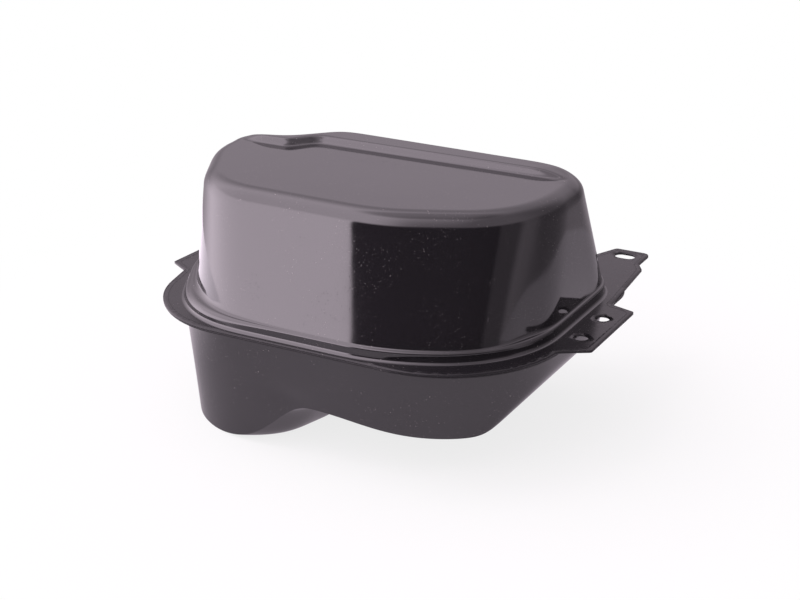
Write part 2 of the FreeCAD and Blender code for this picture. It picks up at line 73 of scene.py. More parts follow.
SEAM: tuple[Corner, ...] = (
    (-90.5, -115.0, 72.0), (48.0, -115.0, 110.0), (120.0, -81.5, 75.0), (120.0, 66.5, 35.0),
    (-48.0, 66.5, 20.0), (-72.0, 48.0, 20.0), (-127.5, 48.0, 35.0), (-127.5, -40.0, 80.0),
)
CROWN: tuple[Corner, ...] = (
    (-80.0, -100.5, 48.0), (38.0, -100.5, 96.0), (118.0, -63.0, 66.0), (118.0, 20.0, 25.0),
    (-52.0, 20.0, 17.0), (-78.0, -8.0, 17.0), (-110.0, -8.0, 12.0), (-110.0, -38.0, 46.0),
)
UPPER_EDGE: tuple[Corner, ...] = (
    (-116.3, -119.0, 67.0), (115.5, -119.0, 76.0), (128.7, -52.1, 6.0), (145.0, -42.3, 2.4),
    (145.0, 23.0, 2.4), (128.7, 27.7, 1.2), (123.5, 90.5, 2.4), (118.4, 98.6, 2.4),
    (118.4, 119.0, 4.8), (95.0, 119.0, 2.4), (76.5, 78.0, 6.0), (-136.0, 78.0, 34.0),
    (-145.0, -37.5, 1.2), (-131.0, -46.0, 2.4),
)
LOWER_EDGE: tuple[Corner, ...] = (
    (-116.3, -118.4, 67.0), (115.5, -118.4, 76.0), (128.2, -52.1, 6.0), (128.2, 77.4, 34.0),
    (-135.4, 77.4, 34.0), (-130.4, -46.0, 6.0),
)


def corner_arcs(corners: tuple[Corner, ...]) -> list[tuple[np.ndarray, np.ndarray, np.ndarray, float]]:
    """Find the tangent arc in each corner of an outline.

    Args:
        corners: x, y and radius of each corner, in millimetres, anticlockwise.

    Returns:
        For each corner its arc's start, end and centre, and the angle that it turns through.
    """
    points = [np.array(c[:2]) for c in corners]
    arcs = []
    for i, (point, corner) in enumerate(zip(points, corners)):
        back = points[i - 1] - point
        ahead = points[(i + 1) % len(points)] - point
        back /= np.linalg.norm(back)
        ahead /= np.linalg.norm(ahead)
        half = math.acos(float(np.clip(back @ ahead, -1, 1))) / 2
        reach = corner[2] / math.tan(half)
        middle = back + ahead
        centre = point + middle / np.linalg.norm(middle) * corner[2] / math.sin(half)
        arcs.append((point + back * reach, point + ahead * reach, centre, math.pi - 2 * half))
    return arcs


def sample_outline(corners: tuple[Corner, ...], counts: list[tuple[int, int]]) -> np.ndarray:
    """Sample an outline with a fixed number of points in each corner and on each side.

    Args:
        corners: the outline's corners.
        counts: for each corner, the points on its arc and on the side that follows it.

    Returns:
        Points in millimetres, one row each.
    """
    arcs = corner_arcs(corners)
    rows = []
    for i, (start, end, centre, _) in enumerate(arcs):
        arc_points, side_points = counts[i]
        first, last = start - centre, end - centre
        begin = math.atan2(first[1], first[0])
        turn = math.atan2(first[0] * last[1] - first[1] * last[0], float(first @ last))
        radius = np.linalg.norm(first)
        for k in range(arc_points):
            angle = begin + turn * k / arc_points
            rows.append(centre + radius * np.array([math.cos(angle), math.sin(angle)]))
        following = arcs[(i + 1) % len(arcs)][0]
        for k in range(side_points):
            rows.append(end + (following - end) * k / side_points)
    return np.array(rows)


def spacing_counts(corners: tuple[Corner, ...], step: float) -> list[tuple[int, int]]:
    """Choose how many points each corner and side gets for an even spacing.

    Args:
        corners: the outline's corners.
        step: the wanted spacing in millimetres.

    Returns:
        For each corner, the points on its arc and on the side that follows it.
    """
    arcs = corner_arcs(corners)
    counts = []
    for i, (_, end, _, turn) in enumerate(arcs):
        side = np.linalg.norm(arcs[(i + 1) % len(arcs)][0] - end)
        counts.append((max(5, round(abs(turn) * corners[i][2] / step)), max(1, round(side / step))))
    return counts


def soften_ring(points: np.ndarray, sigma: float) -> np.ndarray:
    """Blur a closed ring of points along itself, so that curvature changes gradually.

    Args:
        points: the ring, one row for each point.
        sigma: width of the blur, in points.

    Returns:
        The blurred ring.
    """
    reach = int(sigma * 4) + 1
    weights = np.exp(-0.5 * (np.arange(-reach, reach + 1) / sigma) ** 2)
    weights /= weights.sum()
    return sum(w * np.roll(points, k, axis=0) for k, w in zip(range(-reach, reach + 1), weights))


def inward_normals(points: np.ndarray) -> np.ndarray:
    """Unit vectors that point into a closed anticlockwise ring, one for each of its points."""
    along = np.roll(points, -1, axis=0) - np.roll(points, 1, axis=0)
    along /= np.linalg.norm(along, axis=1)[:, None]
    return np.stack([-along[:, 1], along[:, 0]], axis=1)


def smoothstep(value: np.ndarray) -> np.ndarray:
    """Rise smoothly from 0 to 1 as the value goes from 0 to 1."""
    value = np.clip(value, 0, 1)
    return value**3 * (value * (value * 6 - 15) + 10)


def soft_max(a: np.ndarray, b: np.ndarray, width: float) -> np.ndarray:
    """Take the larger of two values, with a round where they cross.

    Args:
        a: one value.
        b: the other value.
        width: how far apart the values are where the round ends.

    Returns:
        The rounded maximum.
    """
    gap = np.clip(0.5 + 0.5 * (a - b) / width, 0, 1)
    return b + (a - b) * gap + width * gap * (1 - gap)


def conic(start: np.ndarray, corner: np.ndarray, end: np.ndarray, count: int) -> list[np.ndarray]:
    """Round a corner between two tangent points of equal reach.

    Args:
        start: tangent points before the corner, one row for each column of the surface.
        corner: the corners.
        end: tangent points after the corner.
        count: how many rows of points the round gets, both ends included.

    Returns:
        The rows, from start to end.
    """
    back = start - corner
    ahead = end - corner
    cosine = (back * ahead).sum(1) / (np.linalg.norm(back, axis=1) * np.linalg.norm(ahead, axis=1) + 1e-12)
    weight = np.sqrt(np.clip((1 - cosine) / 2, 0, 1))[:, None]
    rows = []
    for u in np.linspace(0, 1, count):
        a, b, c = (1 - u) ** 2, 2 * u * (1 - u) * weight, u**2
        rows.append((a * start + b * corner + c * end) / (a + b + c))
    return rows


def straight(start: np.ndarray, end: np.ndarray, count: int) -> list[np.ndarray]:
    """Rows strictly between two rows of points."""
    return [start + (end - start) * k / (count + 1) for k in range(1, count + 1)]


def towards(start: np.ndarray, goal: np.ndarray, reach: np.ndarray | float) -> np.ndarray:
    """Go from some points towards others.

    Args:
        start: the points to go from.
        goal: the points to head for.
        reach: how far to go, in all or for each point.

    Returns:
        The points that are reached.
    """
    along = goal - start
    length = np.linalg.norm(along, axis=1)[:, None] + 1e-12
    return start + along / length * (reach if np.isscalar(reach) else np.asarray(reach)[:, None])


@dataclass
class MeshMaker:
    """Collects points and faces, in millimetres from the parting plane, and makes an object of them."""

    name: str
    points: list[tuple[float, float, float]] = field(default_factory=list)
    faces: list[tuple[int, ...]] = field(default_factory=list)
    rim_gap: dict[int, float] = field(default_factory=dict)

    def add_points(self, rows: np.ndarray) -> list[int]:
        """Add points and return their numbers."""
        first = len(self.points)
        self.points.extend(map(tuple, rows))
        return list(range(first, first + len(rows)))

    def add_ring_grid(self, rings: list[list[int]], flip: bool = False) -> None:
        """Join closed rings of equal length with quads."""
        for lower, upper in zip(rings, rings[1:]):
            count = len(lower)
            for i in range(count):
                j = (i + 1) % count
                quad = (lower[i], lower[j], upper[j], upper[i])
                self.faces.append(quad[::-1] if flip else quad)

    def add_cap(self, ring: list[int], centre: tuple[float, float, float], flip: bool = False) -> None:
        """Close a ring with a fan round one more point."""
        hub = self.add_points(np.array([centre]))[0]
        for i, start in enumerate(ring):
            triangle = (start, ring[(i + 1) % len(ring)], hub)
            self.faces.append(triangle[::-1] if flip else triangle)

    def open_hole(self, centre: tuple[float, float, float], radius: float) -> None:
        """Leave out the faces where a neck or boss opens into the tank.

        Args:
            centre: the middle of the opening.
            radius: how near to it a face's middle has to be.
        """
        points = np.array(self.points)
        self.faces = [face for face in self.faces
                      if np.linalg.norm(points[list(face)].mean(0) - centre) > radius]

    def make(self, thickness: float = 0.0) -> bpy.types.Object:
        """Make the object, smooth shaded and riding on the tank.

        Args:
            thickness: sheet thickness to give it inward, or 0 where it is closed already.

        Returns:
            The new object.
        """
        mesh = bpy.data.meshes.new(self.name)
        points = np.array(self.points) + (0, 0, PARTING)
        mesh.from_pydata((points * MM).tolist(), [], self.faces)
        for title, values in (("flange", {k: 1.0 for k in self.rim_gap}), ("rim_gap", self.rim_gap)):
            layer = mesh.attributes.new(title, "FLOAT", "POINT")
            layer.data.foreach_set("value", [values.get(k, 0.0) for k in range(len(self.points))])
        mesh.validate()
        mesh.shade_smooth()
        piece = bpy.data.objects.new(self.name, mesh)
        bpy.context.scene.collection.objects.link(piece)
        if thickness:
            skin = piece.modifiers.new("sheet", "SOLIDIFY")
            skin.thickness = thickness * MM
            skin.offset = -1
            skin.use_even_offset = False
        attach(piece, ROOT)
        return piece


def inside(points: np.ndarray, ring: np.ndarray) -> np.ndarray:
    """Tell which points lie inside a closed ring."""
    x, y = points[:, 0][:, None], points[:, 1][:, None]
    ax, ay = ring[:, 0], ring[:, 1]
    bx, by = np.roll(ax, -1), np.roll(ay, -1)
    crosses = (ay > y) != (by > y)
    at = ax + (y - ay) * (bx - ax) / (by - ay + 1e-12)
    return (crosses & (x < at)).sum(1) % 2 == 1


def add_flange(maker: MeshMaker, mouth: list[int], edge: np.ndarray, holes: list[np.ndarray],
               level: float, side: Side) -> None:
    """Fill the flat flange between the wall's root and the outer edge.

    Args:
        maker: the mesh that gets the flange.
        mouth: the numbers of the root's points, already in the mesh.
        edge: the flange's outer edge.
        holes: closed rings of the holes.
        level: height of the face.
        side: which way the face looks.
    """
    rings = [np.array([maker.points[i][:2] for i in mouth]), edge, *holes]
    flat = np.concatenate(rings)
    edges, first = [], 0
    for ring in rings:
        count = len(ring)
        edges += [(first + i, first + (i + 1) % count) for i in range(count)]
        first += count
    low, high = flat.min(0), flat.max(0)
    gx, gy = np.meshgrid(np.arange(low[0], high[0], FLANGE_STEP), np.arange(low[1], high[1], FLANGE_STEP))
    grid = np.stack([gx.ravel(), gy.ravel()], axis=1)
    wanted = inside(grid, edge) & ~inside(grid, rings[0])
    for ring in rings:
        nearest = np.min(np.linalg.norm(grid[:, None] - ring[None], axis=2), axis=1)
        wanted &= nearest > FLANGE_CLEARANCE
    for ring in holes:
        wanted &= ~inside(grid, ring)
    every = np.concatenate([flat, grid[wanted]])
    result = geometry.delaunay_2d_cdt([Vector(p) for p in every.tolist()], edges, [], 0, 1e-4)
    made, triangles, sources = result[0], result[2], result[3]
    made = np.array([tuple(p) for p in made])
    numbers: dict[int, int] = {}
    loose = [k for k, source in enumerate(sources) if not any(s < len(mouth) for s in source)]
    fresh = maker.add_points(np.column_stack([made[loose], np.full(len(loose), level)]))
    numbers.update(zip(loose, fresh))
    for k, source in enumerate(sources):
        if k not in numbers:
            numbers[k] = mouth[min(s for s in source if s < len(mouth))]
    gaps = [float(np.min(np.linalg.norm(edge - made[k], axis=1))) for k in range(len(made))]
    maker.rim_gap.update((number, gaps[k]) for k, number in numbers.items())
    centres = np.array([made[list(t)].mean(0) for t in triangles])
    keep = inside(centres, edge) & ~inside(centres, rings[0])
    for ring in holes:
        keep &= ~inside(centres, ring)
    for triangle, kept in zip(triangles, keep):
        if kept:
            face = tuple(numbers[k] for k in triangle)
            maker.faces.append(face if side is Side.UPPER else face[::-1])


def ring_of(centre: tuple[float, float], radius: float, half_run: float = 0.0, count: int = 32) -> np.ndarray:
    """Make the closed ring of a round hole, or of a slot along X.

    Args:
        centre: the middle of the hole.
        radius: its radius.
        half_run: how far each half of a slot is moved outward, or 0 for a round hole.
        count: how many points the ring gets.

    Returns:
        The ring.
    """
    angles = np.linspace(0, 2 * math.pi, count, endpoint=False) + math.pi / count
    ring = np.stack([np.cos(angles), np.sin(angles)], axis=1) * radius
    ring[:, 0] += np.sign(ring[:, 0]) * half_run
    return ring + centre


@dataclass
class UpperHalf:
    """Upper pressing: flat D-shaped crown with a raised strip behind it, sloping rear wall and flange."""

    height: float = 84.0
    strip_height: float = 4.0
    strip_front: float = -3.0
    strip_slope: float = 0.025
    strip_jog: float = 15.0
    jog_x: float = -52.0
    jog_run: float = 22.0
    strip_left: tuple[float, float] = (112.0, 30.0)
    strip_right: tuple[float, float] = (82.0, 36.0)
    right_drop: float = 0.9
    strip_ramp: float = 6.5
    crown_radius: float = 10.5
    strip_round: float = 3.0
    strip_fade: float = 7.0
    shoulder: float = 8.0
    ledge: float = 1.6
    wide_ledge: float = 6.4
    brow_share: float = 0.55
    foot_share: float = 0.42
    inner_reach: float = 30.0
    excess_fade: float = 9.0
    middle: tuple[float, float] = (4.0, -48.0)
    root_reach: float = 2.2
    step: float = 2.1
    hole_radius: float = 4.5

    def raise_at(self, points: np.ndarray) -> np.ndarray:
        """Height of the raised strip over points of the crown."""
        x, y = points[:, 0], points[:, 1]
        run = (self.jog_x - x) / self.jog_run
        line = self.strip_front + self.strip_slope * x - self.strip_jog * smoothstep(run)
        steepest = 1.875 * self.strip_jog / self.jog_run
        slope = np.where((run > 0) & (run < 1), steepest * (1 - (2 * run - 1) ** 2) ** 2, 0)
        distance = (y - line) / np.sqrt(1 + slope**2)
        left = smoothstep((x + self.strip_left[0]) / self.strip_left[1])
        right = 1 - self.right_drop * smoothstep((x - self.strip_right[0]) / self.strip_right[1])
        ends = left * right
        return self.strip_height * smoothstep((distance + 1) / self.strip_ramp) * ends

    def ledge_at(self, points: np.ndarray) -> np.ndarray:
        """How wide the shoulder is: widest at the front left corner, with a short one at the right."""
        x, y = points[:, 0], points[:, 1]
        angle = np.degrees(np.arctan2(y + 25, x))
        left = np.exp(-(((angle + 146) / 26) ** 2))
        right = 0.45 * np.exp(-(((angle + 17) / 9) ** 2))
        return self.ledge + self.wide_ledge * (left + right)

    def build(self) -> bpy.types.Object:
        """Make the shell with its flange, ears and holes."""
        maker = MeshMaker("upper_pressing")
        counts = spacing_counts(SEAM, self.step)
        seam = soften_ring(sample_outline(SEAM, counts), SEAM_BLUR)
        crown = soften_ring(sample_outline(CROWN, counts), SEAM_BLUR)
        inward = inward_normals(seam)
        crown_in = inward_normals(crown)

        def level(rows: np.ndarray, z: np.ndarray | float) -> np.ndarray:
            return np.column_stack([rows, np.broadcast_to(z, len(rows))])

        ledge = self.ledge_at(seam)
        root = level(seam - inward * FLANGE_LAP, SHEET)
        base = level(seam, SHEET)
        brow = level(seam, self.shoulder)
        foot = level(seam + inward * ledge[:, None], self.shoulder + 0.6 + ledge * 0.08)
        raised = soften_ring(self.raise_at(crown + crown_in * 2)[:, None], self.strip_fade / self.step)[:, 0]
        radius = self.crown_radius - self.strip_round * raised / self.strip_height
        top = self.height + raised
        climb = (top - foot[:, 2]) / (self.height - foot[:, 2])
        rim_xy = foot[:, :2] + (crown - foot[:, :2]) * climb[:, None]
        rim = level(rim_xy, top)
        within = level(rim_xy + crown_in * self.inner_reach, top)
        step_length = np.linalg.norm(foot - brow, axis=1)
        wall = foot - rim
        wall_cos = (wall * (within - rim)).sum(1) / (np.linalg.norm(wall, axis=1) * self.inner_reach)
        reach = radius / np.tan(np.arccos(wall_cos) / 2)
        rows = conic(towards(base, root, self.root_reach), base, towards(base, brow, self.root_reach), 7)
        rows += straight(rows[-1], towards(brow, base, step_length * self.brow_share), 2)
        rows += conic(towards(brow, base, step_length * self.brow_share), brow,
                      towards(brow, foot, step_length * self.brow_share), 9)
        rows += conic(towards(foot, brow, step_length * self.foot_share), foot,
                      towards(foot, rim, step_length * self.foot_share), 8)
        wall_start = rows[-1]
        wall_end = towards(rim, foot, reach)
        rows += straight(wall_start, wall_end, 28)
        rows += conic(wall_end, rim, towards(rim, within, reach), 13)
        last = rows[-1]
        centre = np.array(self.middle)
        excess = last[:, 2] - self.height - self.raise_at(last[:, :2])
        even = soften_ring(last[:, :2], 6)
        for share in np.concatenate([np.linspace(0.988, 0.5, 46), np.linspace(0.46, 0.06, 8)]):
            outer = last[:, :2] + (even - last[:, :2]) * smoothstep((1 - share) / 0.12)
            flat = centre + (outer - centre) * share
            gone = np.linalg.norm(flat - last[:, :2], axis=1) / self.excess_fade
            rows.append(level(flat, self.height + self.raise_at(flat) + excess * (1 - smoothstep(gone))))
        rings = [maker.add_points(row) for row in rows]
        maker.add_ring_grid(rings)
        maker.add_cap(rings[-1], (centre[0], centre[1], self.height))
        edge = sample_outline(UPPER_EDGE, spacing_counts(UPPER_EDGE, EDGE_STEP))
        holes = [ring_of(place, self.hole_radius) for place in EAR_HOLES]
        holes.append(ring_of(TAB_SLOT, self.hole_radius, SLOT_HALF_RUN))
        add_flange(maker, rings[0], edge, holes, SHEET, Side.UPPER)
        maker.open_hole(TAP, TAP_OPENING)
        return maker.make(SHEET)


@dataclass
class LowerHalf:
    """Lower pressing: drafted tub with a flat deck, a deep lobe at the front left and a sloping right side."""

    deck: float = 47.0
    lobe: float = 72.0
    deck_rise: float = 8.0
    draft: float = 5.0
    lobe_right: float = 3.0
    lobe_rear: float = -28.0
    lobe_front: float = -134.0
    lobe_cheek: float = 62.0
    lobe_radius: float = 26.0
    lobe_slope: float = 38.0
    bilge_x: float = 137.5
    bilge_lean: float = 0.854
    root_reach: float = 1.8
    dent: float = 1.8
    dent_x: float = -16.0
    dent_z: float = -36.0
    dent_width: float = 15.0
    dent_height: float = 8.0
    wall_rows: int = 22
    bilge_rows: int = 20
    floor_rows: int = 64
    step: float = 2.1

    def floor_at(self, points: np.ndarray) -> np.ndarray:
        """Height of the tub's floor: the deck, the lobe and the slope between them."""
        x, y = points[:, 0], points[:, 1]
        px = x - (self.lobe_right - self.lobe_radius)
        py = y - (self.lobe_rear - self.lobe_radius)
        outside = np.hypot(np.maximum(px, 0), np.maximum(py, 0)) + np.minimum(np.maximum(px, py), 0)
        fx = x - (self.lobe_right - self.lobe_cheek)
        fy = (self.lobe_front + self.lobe_cheek) - y
        before = np.hypot(np.maximum(fx, 0), np.maximum(fy, 0)) + np.minimum(np.maximum(fx, fy), 0)
        distance = soft_max(outside - self.lobe_radius, before - self.lobe_cheek, 4.0)
        near_front = smoothstep((-42.0 - y) / 45.0)
        deck = self.deck - self.deck_rise * smoothstep((85.0 - x) / 90.0) * near_front
        ramp = -deck + distance / math.tan(math.radians(self.lobe_slope))
        floor = soft_max(ramp, np.full_like(ramp, -self.lobe), 7.0)
        return -soft_max(-floor, deck, 6.0)

    def build(self) -> bpy.types.Object:
        """Make the tub with its flange."""
        maker = MeshMaker("lower_pressing")
        counts = spacing_counts(SEAM, self.step)
        seam = soften_ring(sample_outline(SEAM, counts), SEAM_BLUR)
        inward = inward_normals(seam)
        lean = math.tan(math.radians(self.draft))
        count = len(seam)
        depth = np.full(count, self.deck)
        for _ in range(12):
            foot = seam + inward * (depth * lean)[:, None]
            depth = 0.5 * depth - 0.5 * self.floor_at(foot)
        foot = seam + inward * (depth * lean)[:, None]

        def bilge_depth(xy: np.ndarray) -> np.ndarray:
            return (self.bilge_x - xy[:, 0]) / self.bilge_lean

        bend = depth.copy()
        for _ in range(30):
            reached = seam + inward * (bend * lean)[:, None]
            bend = np.minimum(depth, 0.5 * bend + 0.5 * bilge_depth(reached))
        bend = np.clip(bend, 8, None)
        bend_xy = seam + inward * (bend * lean)[:, None]
        run = (depth - bend) * self.bilge_lean / np.maximum(np.abs(inward[:, 0]), 0.35)
        floor_xy = bend_xy + inward * run[:, None]
        centre = np.array([0.0, -20.0])
        rows: list[np.ndarray] = []
        first = np.column_stack([seam, np.full(count, -SHEET)])
        knee = np.column_stack([bend_xy, -bend])
        heel = np.column_stack([floor_xy, -depth])
        for k in range(self.wall_rows):
            rows.append(first + (knee - first) * k / self.wall_rows)
        for k in range(self.bilge_rows):
            rows.append(knee + (heel - knee) * k / self.bilge_rows)
        for k in range(self.floor_rows):
            share = k / self.floor_rows
            flat = floor_xy + (centre - floor_xy) * share * 0.97
            rows.append(np.column_stack([flat, self.floor_at(flat)]))
        grid = self.diffuse(np.array(rows))
        grid = grid + self.dent_at(grid)
        flange = np.column_stack([seam - inward * FLANGE_LAP, np.full(count, -SHEET)])
        lead = conic(towards(first, flange, self.root_reach), first, towards(first, knee, self.root_reach), 7)
        rings = [maker.add_points(row) for row in lead]
        depth_row = lead[-1][:, 2]
        kept = [row for row in grid if np.all(row[:, 2] < depth_row - 0.8)]
        rings += [maker.add_points(row) for row in kept]
        maker.add_ring_grid(rings, flip=True)
        last = kept[-1]
        maker.add_cap(rings[-1], (centre[0], centre[1], float(last[:, 2].mean())), flip=True)
        edge = sample_outline(LOWER_EDGE, spacing_counts(LOWER_EDGE, EDGE_STEP))
        add_flange(maker, rings[0], edge, [], -SHEET, Side.LOWER)
        maker.open_hole(NECK, NECK_OPENING)
        return maker.make(SHEET)

    def dent_at(self, grid: np.ndarray) -> np.ndarray:
        """The shallow hollow in the front wall above the inner end of the lobe."""
        x, y, z = grid[..., 0], grid[..., 1], grid[..., 2]
        away = ((x - self.dent_x) / self.dent_width) ** 2 + ((z - self.dent_z) / self.dent_height) ** 2
        depth = self.dent * np.exp(-away) * smoothstep((-80 - y) / 15)
        return np.stack([np.zeros_like(depth), depth, np.zeros_like(depth)], axis=-1)

    @staticmethod
    def diffuse(grid: np.ndarray) -> np.ndarray:
        """Round the tub's edges by letting neighbouring points even out, except near the flange.

        Args:
            grid: rows of points from the seam to the middle of the floor.

        Returns:
            The rounded rows.
        """
        rows = len(grid)
        hold = np.clip((np.arange(rows) - 4) / 8, 0, 1)[:, None, None]
        fade = np.clip((rows - 3 - np.arange(rows)) / 8, 0, 1)[:, None, None]
        weight = 0.25 * hold * fade
        for _ in range(36):
            along = np.zeros_like(grid)
            along[1:-1] = grid[:-2] + grid[2:] - 2 * grid[1:-1]
            around = np.roll(grid, 1, axis=1) + np.roll(grid, -1, axis=1) - 2 * grid
            grid = grid + weight * (along + 0.6 * around)
        return grid


class Socket:
    """A node's output taken as a number: each operation on it adds a Math node to its tree."""

    def __init__(self, plan: "Plan", output: bpy.types.NodeSocket) -> None:
        self.plan = plan
        self.output = output

    def math(self, operation: str, *others: "Socket | float") -> "Socket":
        """Add a Math node that takes this value first."""
        return self.plan.number(operation, self, *others)

    def __add__(self, other: "Socket | float") -> "Socket":
        return self.plan.number("ADD", self, other)

    def __radd__(self, other: float) -> "Socket":
        return self.plan.number("ADD", other, self)

    def __sub__(self, other: "Socket | float") -> "Socket":
        return self.plan.number("SUBTRACT", self, other)

    def __rsub__(self, other: float) -> "Socket":
        return self.plan.number("SUBTRACT", other, self)

    def __mul__(self, other: "Socket | float") -> "Socket":
        return self.plan.number("MULTIPLY", self, other)

    def __rmul__(self, other: float) -> "Socket":
        return self.plan.number("MULTIPLY", other, self)

    def __truediv__(self, other: "Socket | float") -> "Socket":
        return self.plan.number("DIVIDE", self, other)

    def __rtruediv__(self, other: float) -> "Socket":
        return self.plan.number("DIVIDE", other, self)

    def __pow__(self, other: "Socket | float") -> "Socket":
        return self.plan.number("POWER", self, other)

    def __neg__(self) -> "Socket":
        return self.plan.number("MULTIPLY", self, -1.0)

    def rise(self, low: float, high: float) -> "Socket":
        """Go smoothly from 0 at low to 1 at high."""
        return self.plan.add("ShaderNodeMapRange", "Result", {"interpolation_type": "SMOOTHSTEP"},
                             {"Value": self, "From Min": low, "From Max": high})

    def band(self, low: float, high: float, soft: float) -> "Socket":
        """Be 1 between low and high, with soft edges."""
        return self.rise(low - soft, low + soft) * (1 - self.rise(high - soft, high + soft))


@dataclass
class Plan:
    """A shader's node tree while it is being put together."""

    tree: bpy.types.NodeTree

    def add(self, kind: str, output: str, settings: dict | None = None, inputs: dict | None = None) -> Socket:
        """Add a node.

        Args:
            kind: the node's type.
            output: which of its outputs is wanted.
            settings: the node's own properties.
            inputs: for each input, by name or number, a socket or a constant.

        Returns:
            The wanted output.
        """
        node = self.tree.nodes.new(kind)
        for title, value in (settings or {}).items():
            setattr(node, title, value)
        for title, value in (inputs or {}).items():
            self.feed(node.inputs[title], value)
        return Socket(self, node.outputs[output])

    def feed(self, target: bpy.types.NodeSocket, value: "Socket | float | tuple") -> None:
        """Link a socket to an input, or set the input to a constant."""
        if isinstance(value, Socket):
            self.tree.links.new(value.output, target)
        else:
            target.default_value = value

    def number(self, operation: str, *values: "Socket | float") -> Socket:
        """Work out a number from others with a Math node."""
        return self.add("ShaderNodeMath", "Value", {"operation": operation}, dict(enumerate(values)))

    def blend(self, share: "Socket | float", low: "Socket | tuple", high: "Socket | tuple") -> Socket:
        """Mix two colours."""
        node = self.tree.nodes.new("ShaderNodeMix")
        node.data_type = "RGBA"
        for target, value in zip((node.inputs[0], node.inputs[6], node.inputs[7]), (share, low, high)):
            self.feed(target, value)
        return Socket(self, node.outputs[2])

    def axes(self, vector: Socket) -> tuple[Socket, Socket, Socket]:
        """Take a vector apart."""
        node = self.tree.nodes.new("ShaderNodeSeparateXYZ")
        self.feed(node.inputs[0], vector)
        return tuple(Socket(self, output) for output in node.outputs)

    def noise(self, place: Socket, scale: float, detail: float = 2.0, roughness: float = 0.5) -> Socket:
        """Noise from 0 to 1 over a place given in metres."""
        return self.add("ShaderNodeTexNoise", "Fac", {}, {
            "Vector": place, "Scale": scale, "Detail": detail, "Roughness": roughness})

    def attribute(self, title: str) -> Socket:
        """A number kept on the mesh."""
        return self.add("ShaderNodeAttribute", "Fac", {"attribute_name": title})


@dataclass(frozen=True)
class Enamel:
    """Gloss black stove enamel over pressed steel: wavy, with dust, fine pits and a duller flange."""

    name: str = "black_enamel"
    black: tuple[float, float, float, float] = (0.0095, 0.0085, 0.0105, 1.0)
    dust: tuple[float, float, float, float] = (0.30, 0.28, 0.27, 1.0)
    index: float = 1.9
    dull_index: float = 1.4
    gloss: float = 0.07
    wave: float = 0.00030
    ripple: float = 0.00003
    peel: float = 0.0000016
    pit: float = 0.00006
    streak: float = 0.00004
    weld: float = 0.00022
    weld_gap: float = 3.1

    def make(self) -> bpy.types.Material:
        """Make the material."""
        material = bpy.data.materials.new(self.name)
        material.use_nodes = True
        plan = Plan(material.node_tree)
        material.node_tree.nodes.remove(material.node_tree.nodes["Principled BSDF"])
        place = plan.add("ShaderNodeTexCoord", "Object")
        x, y, _ = plan.axes(place)
        flange = plan.attribute("flange").rise(0.3, 0.9)
        specks = plan.noise(place, 1500, 1.0).rise(0.735, 0.76) * plan.noise(place, 45, 2.0).rise(0.42, 0.62)
        pits = plan.noise(place, 950, 1.0).rise(0.70, 0.76) * plan.noise(place, 30, 1.0).rise(0.60, 0.66)
        angle = plan.number("ARCTAN2", y, x)
        radius = (x * x + y * y).math("SQRT")
        polar = plan.add("ShaderNodeCombineXYZ", "Vector", {}, {"X": angle * 70, "Y": radius * 60, "Z": 0.0})
        streaks = plan.noise(polar, 1.0, 3.0, 0.6)
        gap = plan.attribute("rim_gap") - self.weld_gap
        bead = (-(gap * gap * 5.0)).math("EXPONENT") * flange
        height = (plan.noise(place, 20, 1.0) * self.wave
                  + plan.noise(place, 75, 1.0) * self.ripple
                  + plan.noise(place, 1100, 2.0) * self.peel
                  - pits * self.pit
                  + flange * streaks * self.streak
                  + bead * plan.noise(place, 420, 2.0).rise(0.2, 0.8) * self.weld)
        normal = plan.add("ShaderNodeBump", "Normal", {}, {"Height": height, "Strength": 1.0, "Distance": 1.0})
        haze = plan.noise(place, 14, 4.0, 0.65).rise(0.45, 0.75)
        rough = self.gloss + haze * 0.05 + flange * (0.10 + streaks * 0.12) + bead * 0.15 + specks * 0.4
        coats = []
        for index in (self.index, self.dull_index):
            coats.append(plan.add("ShaderNodeBsdfPrincipled", "BSDF", {}, {
                "Base Color": plan.blend(specks, self.black, self.dust), "Roughness": rough,
                "Normal": normal, "IOR": index}))
        mix = plan.add("ShaderNodeMixShader", "Shader", {}, {0: flange * 0.85, 1: coats[0], 2: coats[1]})
        plan.feed(material.node_tree.nodes["Material Output"].inputs["Surface"], mix)
        return material


